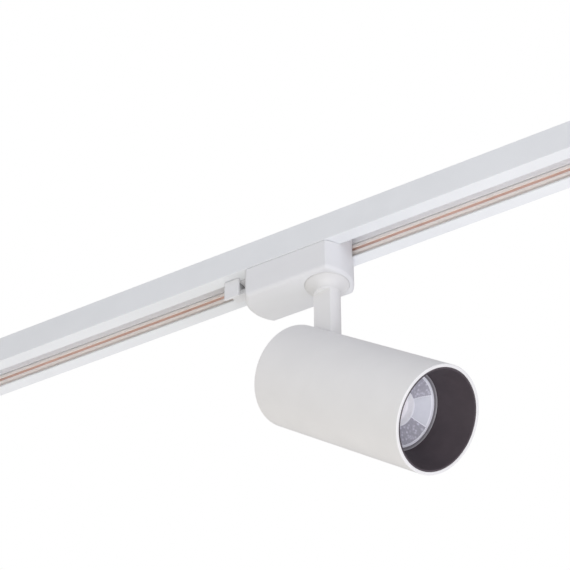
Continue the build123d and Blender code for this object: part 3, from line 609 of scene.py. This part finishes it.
# Painted light: a paler copy of the track coat for the channel's inside, standing in for light that the narrow
# slot keeps out.
CHANNEL_PAINTED_LIGHT = powder_coat("channel_painted_light", (0.95, 0.955, 0.97), (0.965, 0.97, 0.985), 0.38, 0.30, 0.006)
INSULATION = moulded("insulation_extruded", (0.985, 0.93, 0.895), (0.99, 0.945, 0.91), 0.3)
COPPER = drawn_metal("copper_drawn", (0.80, 0.54, 0.45), (0.91, 0.65, 0.56), 0.42, 0)
BRASS = drawn_metal("brass_stamped", (0.70, 0.52, 0.26), (0.80, 0.62, 0.34), 0.3, 2)
STEEL = plated_steel("steel_zinc", (0.56, 0.56, 0.57), (0.68, 0.68, 0.70), 0.32)
HEATSINK = drawn_metal("heatsink_aluminium", (0.52, 0.53, 0.54), (0.64, 0.65, 0.66), 0.42, 0, 0.3)
BOARD_WHITE = moulded("board_white_mask", (0.78, 0.78, 0.77), (0.82, 0.82, 0.81), 0.3)
BEZEL = moulded("bezel_grey", (0.20, 0.19, 0.205), (0.24, 0.225, 0.245), 0.35)
# Painted highlight: the bead is a lighter copy of the bezel's grey.
BEZEL_BEAD_HIGHLIGHT = moulded("bezel_bead_painted_highlight", (0.34, 0.33, 0.35), (0.40, 0.39, 0.41), 0.3)
NYLON = moulded("nylon_natural", (0.80, 0.78, 0.72), (0.86, 0.84, 0.78), 0.5)
TERMINAL = moulded("terminal_grey", (0.55, 0.56, 0.56), (0.62, 0.63, 0.63), 0.4)
DARK_CASE = moulded("component_case", (0.030, 0.030, 0.034), (0.045, 0.045, 0.05), 0.4)
LEAD_SLEEVE = moulded("lead_sleeve", (0.70, 0.70, 0.69), (0.78, 0.78, 0.77), 0.45)
BAFFLE = light_baffle()
# Painted reflection: the optic's opaque colours stand in for the light a clear optic reflects and lets through.
OPTIC_PAINTED_REFLECTION = optic("optic_painted_reflection", (0.66, 0.67, 0.715), (0.70, 0.71, 0.755))
# Painted light: the recess's floor and side are near-white, lighter than the optic, standing in for light that the
# deep head keeps out.
OPTIC_CENTRE_PAINTED_LIGHT = optic("optic_centre_painted_light", (0.97, 0.93, 0.95), (0.985, 0.95, 0.97), 0.3)
OPTIC_WELL_PAINTED_LIGHT = optic("optic_well_painted_light", (0.97, 0.97, 0.995), (0.98, 0.98, 1.0), 0.25)
# Painted highlight: a paler copy for the optic's edges, sector borders, rim and the outer band of smooth sectors.
OPTIC_EDGE_HIGHLIGHT = optic("optic_edge_painted_highlight", (0.84, 0.84, 0.895), (0.88, 0.88, 0.93), 0.16)
OPTIC_HAMMERED_GLINTS = hammered_optic()
PHOSPHOR = phosphor()
SOLDER_MASK = solder_mask()
TAPE = tape_wrap()

SLOT_MATERIALS = {
    "white_metal": WHITE_COAT,
    "white_plastic": WHITE_PLASTIC,
    "track_paint": TRACK_COAT,
    "insulation": INSULATION,
    "copper": COPPER,
    "brass": BRASS,
    "steel": STEEL,
    "circuit_board": SOLDER_MASK,
    "component_dark": DARK_CASE,
    "winding": TAPE,
    "terminal_plastic": TERMINAL,
    "lead_white": LEAD_SLEEVE,
    "heatsink_metal": HEATSINK,
    "board_metal": BOARD_WHITE,
    "phosphor": PHOSPHOR,
    "optic": OPTIC_PAINTED_REFLECTION,
    "bezel": BEZEL,
    "baffle_black": BAFFLE,
    "friction": NYLON,
}

# ---- track -------------------------------------------------------------------------------------------


def rail_outline():
    """The rail's cross-section, (y, z, corner radius), anticlockwise."""
    right = [(SLOT_HALF, TRACK_FLOOR, 0.1), (TRACK_HALF, TRACK_FLOOR, 0.4), (TRACK_HALF, 0, 0.4)]
    left = [(-y, z, r) for y, z, r in reversed(right)]
    inside = [(SLOT_HALF, TRACK_FLOOR + LIP, 0.1), (CHANNEL_HALF, TRACK_FLOOR + LIP, 0.3),
              (CHANNEL_HALF, RIB_BOTTOM, 0.3), (RIB_INNER, RIB_BOTTOM, 0.4), (RIB_INNER, -WALL, 0.4)]
    inside_left = [(-y, z, r) for y, z, r in inside]
    return outline(right + left + inside_left + list(reversed(inside)))


def track_rail():
    """The extruded rail with its screw ports and ceiling holes."""
    rail = moved(prism(rail_outline(), TRACK_LEFT, TRACK_RIGHT, 0.15, 0.15, 2), UP_TO_X)
    tools = []
    for side in SIDES:
        port = prism(circle(PORT_RADIUS, side * PORT_Y, PORT_Z, 24), TRACK_LEFT - 1, TRACK_RIGHT + 1)
        tools.append(moved(port, UP_TO_X))
        tools.append(prism(circle(CEILING_SCREW_RADIUS, side * CEILING_SCREW_X, 0, 32), -WALL - 1, 1))
    return carved(rail, *tools)


def in_channel(face):
    """Whether a face of the rail lies inside the channel."""
    between_walls = abs(face.center.y) < CHANNEL_HALF + 0.01
    above_lips = TRACK_FLOOR + LIP - 0.02 < face.center.z < -WALL + 0.02
    return between_walls and above_lips and abs(face.normal.x) < 0.5


# The channel's inside takes the paler copy of the track coat: painted light in place of the light the slot keeps
# out.
piece("rail", track_rail(), TRACK_COAT, "track_rail", zones=[(CHANNEL_PAINTED_LIGHT, in_channel)])


def strip_outline(side):
    """An insulator's cross-section with its groove and its leg to the lip."""
    points = [(STRIP_INNER, STRIP_BOTTOM, 0.8), (STRIP_OUTER, STRIP_BOTTOM, 0.2),
              (STRIP_OUTER, TRACK_FLOOR + LIP, 0), (CHANNEL_HALF, TRACK_FLOOR + LIP, 0),
              (CHANNEL_HALF, RIB_BOTTOM, 0), (STRIP_OUTER, RIB_BOTTOM, 0),
              (STRIP_OUTER, STRIP_TOP, 0.2), (STRIP_INNER, STRIP_TOP, 1.4),
              (STRIP_INNER, GROOVE_TOP, 0.2), (BAR_OUTER, GROOVE_TOP, 0),
              (BAR_OUTER, GROOVE_BOTTOM, 0), (STRIP_INNER, GROOVE_BOTTOM, 0.2)]
    if side > 0:
        return outline(points)
    return outline([(-y, z, r) for y, z, r in reversed(points)])


for side, word in ((-1, "front"), (1, "rear")):
    strip = moved(prism(strip_outline(side), TRACK_LEFT, TRACK_RIGHT), UP_TO_X)
    piece(f"{word}_insulator", strip, INSULATION, f"insulator_{word}")
    low, high = sorted((side * BAR_INNER, side * BAR_OUTER))
    bar = prism(rectangle(low, high, GROOVE_BOTTOM, GROOVE_TOP, 0.35), TRACK_LEFT, TRACK_RIGHT, 0.1, 0.1, 2)
    bar = moved(bar, UP_TO_X)
    piece(f"{word}_conductor", bar, COPPER, f"conductor_{word}")

for node, width in (("end_cap", 0.3), ("feed_housing", 0.3), ("feed_cover", 0.15), ("adapter_lid", 0.15),
                    ("release_latch", 0.35)):
    piece(f"{node}_soft", softened(from_cad(node), width), WHITE_PLASTIC, node)

spring = piece("latch_coil", from_cad("latch_spring"), STEEL, "latch_spring")
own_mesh(spring)

# ---- adapter -----------------------------------------------------------------------------------------


def adapter_housing():
    """The housing with its rolled lower edge, the swivel's seat and the latch's guide slot."""
    body = prism(adapter_outline, ADAPTER_BOTTOM, ADAPTER_TOP, ADAPTER_ROLLED_EDGE, 0.25, 8)
    inside = prism(adapter_outline(ADAPTER_SIDE_WALL, 0.3), ADAPTER_BOTTOM + ADAPTER_BASE, ADAPTER_TOP + 1)
    half_wall = prism(adapter_outline(ADAPTER_SIDE_WALL / 2, 0.3), ADAPTER_BOTTOM, ADAPTER_TOP)
    boss = prism(circle(BOSS_RADIUS, SWIVEL_X, 0, 96), ADAPTER_BOTTOM + ADAPTER_BASE / 2, BOSS_TOP)
    boss = combined(boss, [half_wall], "INTERSECT")
    seat = prism(circle(DISC_RADIUS + SEAT_GAP, SWIVEL_X, 0, 128), ADAPTER_BOTTOM - 1, DISC_TOP + 0.2)
    bore = prism(circle(NIPPLE_BORE, SWIVEL_X, 0, 48), ADAPTER_BOTTOM - 1, ADAPTER_BOTTOM + 7)
    guide = prism(rectangle(LATCH_SLOT_LEFT, LATCH_SLOT_RIGHT, -LATCH_SLOT_HALF, LATCH_SLOT_HALF),
                  LATCH_SLOT_BOTTOM, ADAPTER_TOP + 1)
    return carved(joined(carved(body, inside), boss), seat, bore, guide)


piece("adapter_shell", adapter_housing(), WHITE_PLASTIC, "adapter_housing")

# ---- swivel and stem ---------------------------------------------------------------------------------


def upright(mesh):
    """A shape turned about X, stood up about Z."""
    return moved(mesh, Matrix.Rotation(-pi / 2, 4, "Y"))


def swivel_disc():
    """The disc with a rounded lower rim."""
    profile = outline([(DISC_BOTTOM, DISC_BORE, 0), (DISC_BOTTOM, DISC_RADIUS, 0.25),
                       (DISC_TOP, DISC_RADIUS, 0.2), (DISC_TOP, DISC_BORE, 0)])
    return upright(lathe(profile))


# The disc takes the darker copy of the white coat: painted shade.
piece("swivel_plate", swivel_disc(), SWIVEL_PAINTED_SHADE, "swivel_disc", place=ON_SWIVEL)


def flare():
    """The trumpet between the disc and the stem."""
    top = DISC_BOTTOM - 0.4
    steps = 16
    profile = [(DISC_BOTTOM, 0), (DISC_BOTTOM, FLARE_RADIUS - 0.2), (DISC_BOTTOM - 0.2, FLARE_RADIUS)]
    for k in range(steps + 1):
        spread = (FLARE_RADIUS - STEM_RADIUS) * (1 - k / steps) ** 1.8
        profile.append((top - (top - FLARE_BOTTOM) * k / steps, STEM_RADIUS + spread))
    profile.append((FLARE_BOTTOM - 0.1, 0))
    return upright(lathe(profile, 192, closed=False))


def stem():
    """The post: a flare, a round collar, two flats below a ledge, the eye and the bores."""
    post = prism(circle(STEM_RADIUS - 0.01, 0, 0, 96), PIVOT_Z, DISC_BOTTOM - 3)
    eye = moved(prism(circle(STEM_RADIUS, PIVOT_Z, 0, 96), -STEM_RADIUS, STEM_RADIUS), UP_TO_Y)
    tools = []
    for side in SIDES:
        low, high = sorted((side * STEM_FLAT, side * (STEM_RADIUS + 2)))
        tools.append(prism(rectangle(-12, 12, low, high), PIVOT_Z - 12, STEM_FLAT_TOP))
    tools.append(prism(circle(NIPPLE_SOCKET, 0, 0, 48), NIPPLE_SOCKET_BOTTOM, DISC_BOTTOM + 1))
    tools.append(prism(circle(LEAD_BORE, 0, 0, 32), LEAD_BORE_BOTTOM, LEAD_BORE_TOP))
    tools.append(moved(prism(circle(LEAD_EXIT, 0, LEAD_EXIT_Z, 32), -12, 0), UP_TO_X))
    tools.append(moved(prism(circle(PIVOT_BORE, PIVOT_Z, 0, 32), -12, 12), UP_TO_Y))
    return softened(carved(joined(post, eye, flare()), *tools), 0.3, 50)


def on_flare(face):
    """Whether a face belongs to the stem's flare."""
    return face.center.z > FLARE_BOTTOM + 0.5


# The flare takes the darker copy of the white coat: painted shade on one coated part.
piece("stem_post", stem(), WHITE_COAT, "stem", place=ON_SWIVEL, zones=[(SWIVEL_PAINTED_SHADE, on_flare)])

# ---- head --------------------------------------------------------------------------------------------


def stem_slot(x0, x1, z0, z1):
    """The space for the stem as a cutter with rounded corners."""
    return prism(rectangle(x0, x1, -STEM_SLOT_HALF, STEM_SLOT_HALF, 0.8), z0, z1)


def head_tube():
    """The turned tube with its rims, its two inner shoulders and the stem's slot."""
    profile = outline([
        (HEAD_BACK, HEAD_RADIUS, 0.6), (HEAD_BACK, HEAD_BORE, 0.3),
        (CAP_FRONT, HEAD_BORE, 0), (CAP_FRONT, CAP_SHOULDER_RADIUS, 0.2),
        (CAP_SHOULDER_FRONT, CAP_SHOULDER_RADIUS, 0.2), (CAP_SHOULDER_FRONT, HEAD_BORE, 0),
        (SINK_SHOULDER_BACK, HEAD_BORE, 0), (SINK_SHOULDER_BACK, SINK_SHOULDER_RADIUS, 0.2),
        (SINK_SHOULDER_FRONT, SINK_SHOULDER_RADIUS, 0.2), (SINK_SHOULDER_FRONT, HEAD_BORE, 0),
        (HEAD_FRONT, HEAD_BORE, 0.35), (HEAD_FRONT, HEAD_RADIUS, 0.55)])
    tube = lathe(profile, 256)
    slot = stem_slot(HEAD_BACK - 5, STEM_SLOT_REACH, 5, HEAD_RADIUS + 3)
    return carved(tube, slot)


piece("head_casing", head_tube(), WHITE_COAT, "head_tube", place=ON_HEAD)


def rear_cap():
    """The back disc with its screw recesses and the stem's slot."""
    edge = HEAD_BORE - 0.1
    profile = outline([(HEAD_BACK, 0, 0), (HEAD_BACK, edge, 0.5), (CAP_FRONT, edge, 0.2), (CAP_FRONT, 0, 0)])
    cap = lathe(profile, 192, closed=False)
    tools = [moved(prism(rectangle(-STEM_SLOT_HALF, STEM_SLOT_HALF, -STEM_SLOT_REACH, HEAD_RADIUS + 2, 1.2),
                         HEAD_BACK - 1, -28), UP_TO_X)]
    for side in SIDES:
        hole = circle(CAP_SCREW_RADIUS, side * CAP_SCREW_Y, CAP_SCREW_Z, 32)
        recess = circle(CAP_RECESS_RADIUS, side * CAP_SCREW_Y, CAP_SCREW_Z, 48)
        tools.append(moved(prism(hole, HEAD_BACK - 1, -28), UP_TO_X))
        tools.append(moved(prism(recess, HEAD_BACK - 1, HEAD_BACK + 1), UP_TO_X))
    return carved(cap, *tools)


piece("back_plate", rear_cap(), WHITE_COAT, "rear_cap", place=ON_HEAD)


def baffle():
    """The dark cone with a rolled lip and its clamping flange."""
    outer = HEAD_BORE - 0.05
    flange = BAFFLE_REAR + BAFFLE_FLANGE
    profile = outline([(BAFFLE_FRONT, BAFFLE_LIP_RADIUS, 0.15), (BAFFLE_FRONT, outer, 0.15),
                       (BAFFLE_FRONT - BAFFLE_LIP_LENGTH, outer, 0.1),
                       (flange, BAFFLE_REAR_RADIUS + 1.6, 0), (flange, outer, 0),
                       (BAFFLE_REAR, outer, 0), (BAFFLE_REAR, BAFFLE_REAR_RADIUS, 0.2)])
    return lathe(list(reversed(profile)), 192)


piece("light_baffle", baffle(), BAFFLE, "baffle", place=ON_HEAD)


def lens_ring():
    """The bezel round the lens."""
    inner = LENS_OUTER - 0.5
    seat = LENS_OUTER + 0.2
    front = LENS_FRONT + 1
    back = LENS_FRONT - 3
    profile = outline([(front - 0.3, inner, 0.1), (front - 0.3, BEAD_RADIUS - 0.25, 0),
                       (front, BEAD_RADIUS, 0.1), (front, BEZEL_OUTER, 0.3), (back, BEZEL_OUTER, 0.2),
                       (back, seat, 0), (LENS_FRONT, seat, 0), (LENS_FRONT, inner, 0)])
    return lathe(list(reversed(profile)), 192)


def on_bead(face):
    """Whether a face of the bezel belongs to its outer bead, which is painted lighter as a highlight."""
    return hypot(face.center.y, face.center.z) > BEAD_RADIUS - 0.3 and face.center.x > LENS_FRONT


piece("lens_bezel", lens_ring(), BEZEL, "lens_ring", place=ON_HEAD, zones=[(BEZEL_BEAD_HIGHLIGHT, on_bead)])

# ---- lens --------------------------------------------------------------------------------------------


def sector_place(radius, angle):
    """How far inside a smooth sector a point is, in millimetres; less than nothing in a textured one."""
    turn = (angle - SMOOTH_FIRST) % SECTOR_PAIR
    width = SMOOTH_WIDTH + SMOOTH_WIDENING * (LENS_RIM - radius)
    if turn < width:
        return min(turn, width - turn) * radius
    return -min(turn - width, SECTOR_PAIR - turn) * radius


def scatter(first, second):
    """A number between 0 and 1 that looks random for each pair of whole numbers."""
    return (sin(first * 12.9898 + second * 78.233) * 43758.5453) % 1.0


def lens_height(radius, angle):
    """How far along the axis the lens's front lies: a dished cone in textured and polished sectors."""
    share = (radius - LENS_CENTRE) / (LENS_RIM - LENS_CENTRE)
    cone = CONE_FOOT + CONE_RISE * share
    inside = sector_place(radius, angle)
    if inside >= 0:
        return cone + SMOOTH_RISE * min(1.0, inside / BORDER)
    row = round((radius - LENS_CENTRE) / DIMPLE_PITCH - 0.5)
    row_radius = LENS_CENTRE + DIMPLE_PITCH * (row + 0.5)
    around = round(2 * pi * row_radius / DIMPLE_PITCH)
    step = 2 * pi / around
    place = angle / step + 0.5 * (row % 2)
    column = round(place)
    across = (place - column + DIMPLE_WANDER * (scatter(row, column) - 0.5)) * step * radius
    up = radius - row_radius + DIMPLE_WANDER * DIMPLE_PITCH * (scatter(column, row + 7) - 0.5)
    out = hypot(across, up) / (DIMPLE_PITCH * 0.5)
    depth = DIMPLE_DEPTH * (0.5 + scatter(row + 3, column + 5))
    return cone + depth * max(0.0, 1 - out * out) * min(1.0, -inside / 0.5)


def lens():
    """The optic: its turned back and rim, and a front of fine rings that follow lens_height."""
    back = [(66.0, LENS_OUTER), (66.0, 20.6), (58.0, 15.5), (LENS_BACK, 9.8), (LENS_BACK, 7.0),
            (56.0, 6.0), (57.0, 0.0)]
    front = [(WELL_FLOOR, 0.0), (WELL_FLOOR, 5.0), (WELL_FLOOR, WELL_RADIUS - 2.0),
             (WELL_FLOOR + 0.15, WELL_RADIUS - 1.5), (WELL_FLOOR + 0.6, WELL_RADIUS - 1.1),
             (64.0, WELL_RADIUS - 0.1), (64.3, WELL_RADIUS + 0.1), (CONE_FOOT, WELL_RADIUS + 0.3)]
    rim = [(68.9, LENS_RIM + 0.15), (LENS_FRONT - 0.05, LENS_RIM + 0.35), (LENS_FRONT, LENS_RIM + 0.6),
           (LENS_FRONT, LENS_OUTER - 0.15), (LENS_FRONT - 0.15, LENS_OUTER)]
    mesh = bmesh.new()

    def ring(height, radius):
        """One ring of vertices, its height a number or a function of the angle."""
        if radius < 1e-6:
            return [mesh.verts.new((height, 0, 0))]
        made = []
        for k in range(LENS_SEGMENTS):
            angle = 2 * pi * k / LENS_SEGMENTS
            along = height(radius, angle) if callable(height) else height
            made.append(mesh.verts.new((along, radius * cos(angle), radius * sin(angle))))
        return made

    rings = [ring(along, radius) for along, radius in front]
    for k in range(LENS_FINE_RINGS + 1):
        rings.append(ring(lens_height, LENS_CENTRE + (LENS_RIM - LENS_CENTRE) * k / LENS_FINE_RINGS))
    rings += [ring(along, radius) for along, radius in rim + back]
    for lower, upper in zip(rings, rings[1:]):
        bridge(mesh, lower, upper)
    return mesh


def round_place(face):
    """A face's distance from the lens's axis, and how far inside a smooth sector it lies."""
    radius = hypot(face.center.y, face.center.z)
    return radius, sector_place(radius, atan2(face.center.z, face.center.y))


def on_front(face):
    """Whether a face lies on the lens's front."""
    reach = LENS_OUTER - 0.05 if face.center.x > 63 else WELL_RADIUS
    return face.center.x > 59 and round_place(face)[0] < reach


def in_well(face):
    """Whether a face lies on the floor of the lens's recess."""
    return on_front(face) and round_place(face)[0] < WELL_RADIUS - WELL_SIDE


def in_well_side(face):
    """Whether a face lies on the side of the lens's recess."""
    return on_front(face) and WELL_RADIUS - WELL_SIDE < round_place(face)[0] < WELL_RADIUS + 0.2


def on_edge(face):
    """Whether a face lies next to the recess, on a sector's border or on the rim, where a paler colour is painted
    as a highlight.
    """
    radius, inside = round_place(face)
    if not on_front(face) or radius < WELL_RADIUS + 0.2:
        return False
    return 0 <= inside < BORDER or radius < LENS_CENTRE or radius > LENS_RIM


def in_hammered(face):
    """Whether a face lies in a textured sector."""
    radius, inside = round_place(face)
    return on_front(face) and LENS_CENTRE < radius < LENS_RIM and inside < 0


def in_outer_smooth(face):
    """Whether a face lies in the outer part of a smooth sector, painted paler as a highlight."""
    radius, inside = round_place(face)
    return LENS_RIM - SMOOTH_OUTER_BAND < radius < LENS_RIM and inside > 0


# The optic's colours are painted light: reflection on its body, a lighter well, highlights on its edges and glints
# in its textured sectors.
piece("lens_optic", lens(), OPTIC_PAINTED_REFLECTION, "lens", place=ON_HEAD, angle=50,
      zones=[(OPTIC_CENTRE_PAINTED_LIGHT, in_well), (OPTIC_WELL_PAINTED_LIGHT, in_well_side), (OPTIC_HAMMERED_GLINTS, in_hammered),
             (OPTIC_EDGE_HIGHLIGHT, on_edge), (OPTIC_EDGE_HIGHLIGHT, in_outer_smooth)])

# ---- CAD nodes that stay -----------------------------------------------------------------------------

for node, made in CAD.items():
    if made.hide_render:
        continue
    slot_name = made.data.materials[0].name
    for holder in made.material_slots:
        holder.material = SLOT_MATERIALS[slot_name]

# ---- floor, light and camera -------------------------------------------------------------------------


def floor():
    """A plain pale floor, well below the track; its glow is for the camera alone and lights nothing."""
    slab = rectangle(-FLOOR_HALF_MM, FLOOR_HALF_MM, -FLOOR_HALF_MM, FLOOR_HALF_MM, 400)
    top = FLOOR_Z / MM
    tile = as_object(prism(slab, top - 20, top), "floor")
    tile.data.transform(Matrix.Scale(MM, 4))
    finish = Finish("floor_paint", 0.7)
    finish.colour(finish.noise(180), (0.78, 0.78, 0.78), (0.81, 0.81, 0.81))
    finish.set(Emission_Color=(FLOOR_GLOW, FLOOR_GLOW, FLOOR_GLOW, 1))
    path = finish.tree.nodes.new("ShaderNodeLightPath")
    finish.tree.links.new(path.outputs["Is Camera Ray"], finish.shader.inputs["Emission Strength"])
    tile.data.materials.append(finish.material)


def soft_world(light, backdrop):
    """Even light all round, and a white backdrop for the camera alone."""
    world = bpy.data.worlds.new("studio")
    bpy.context.scene.world = world
    world.use_nodes = True
    tree = world.node_tree
    plain = tree.nodes["Background"]
    plain.inputs["Color"].default_value = (*light, 1)
    white = tree.nodes.new("ShaderNodeBackground")
    white.inputs["Color"].default_value = (*backdrop, 1)
    mix = tree.nodes.new("ShaderNodeMixShader")
    path = tree.nodes.new("ShaderNodeLightPath")
    tree.links.new(path.outputs["Is Camera Ray"], mix.inputs["Fac"])
    tree.links.new(plain.outputs["Background"], mix.inputs[1])
    tree.links.new(white.outputs["Background"], mix.inputs[2])
    tree.links.new(mix.outputs["Shader"], tree.nodes["World Output"].inputs["Surface"])


def softbox(name, place, size, colour, watts):
    """A square area light that looks at the head."""
    data = bpy.data.lights.new(name, "AREA")
    data.size = size
    data.color = colour
    data.energy = watts
    lamp = bpy.data.objects.new(name, data)
    lamp.location = place
    lamp.rotation_euler = (PIVOT_POINT - Vector(place)).to_track_quat("-Z", "Y").to_euler()
    bpy.context.scene.collection.objects.link(lamp)


floor()
soft_world(WORLD_LIGHT, BACKDROP)
for light in LIGHTS:
    softbox(*light)

lens_data = bpy.data.cameras.new("camera")
lens_data.lens = CAMERA_LENS
lens_data.sensor_width = 36
lens_data.clip_end = 60
camera = bpy.data.objects.new("camera", lens_data)
camera.location = CAMERA_PLACE
camera.rotation_euler = (radians(90 + CAMERA_PITCH), 0, radians(CAMERA_YAW))
bpy.context.scene.collection.objects.link(camera)
bpy.context.scene.camera = camera
bpy.context.scene.view_settings.view_transform = "Standard"
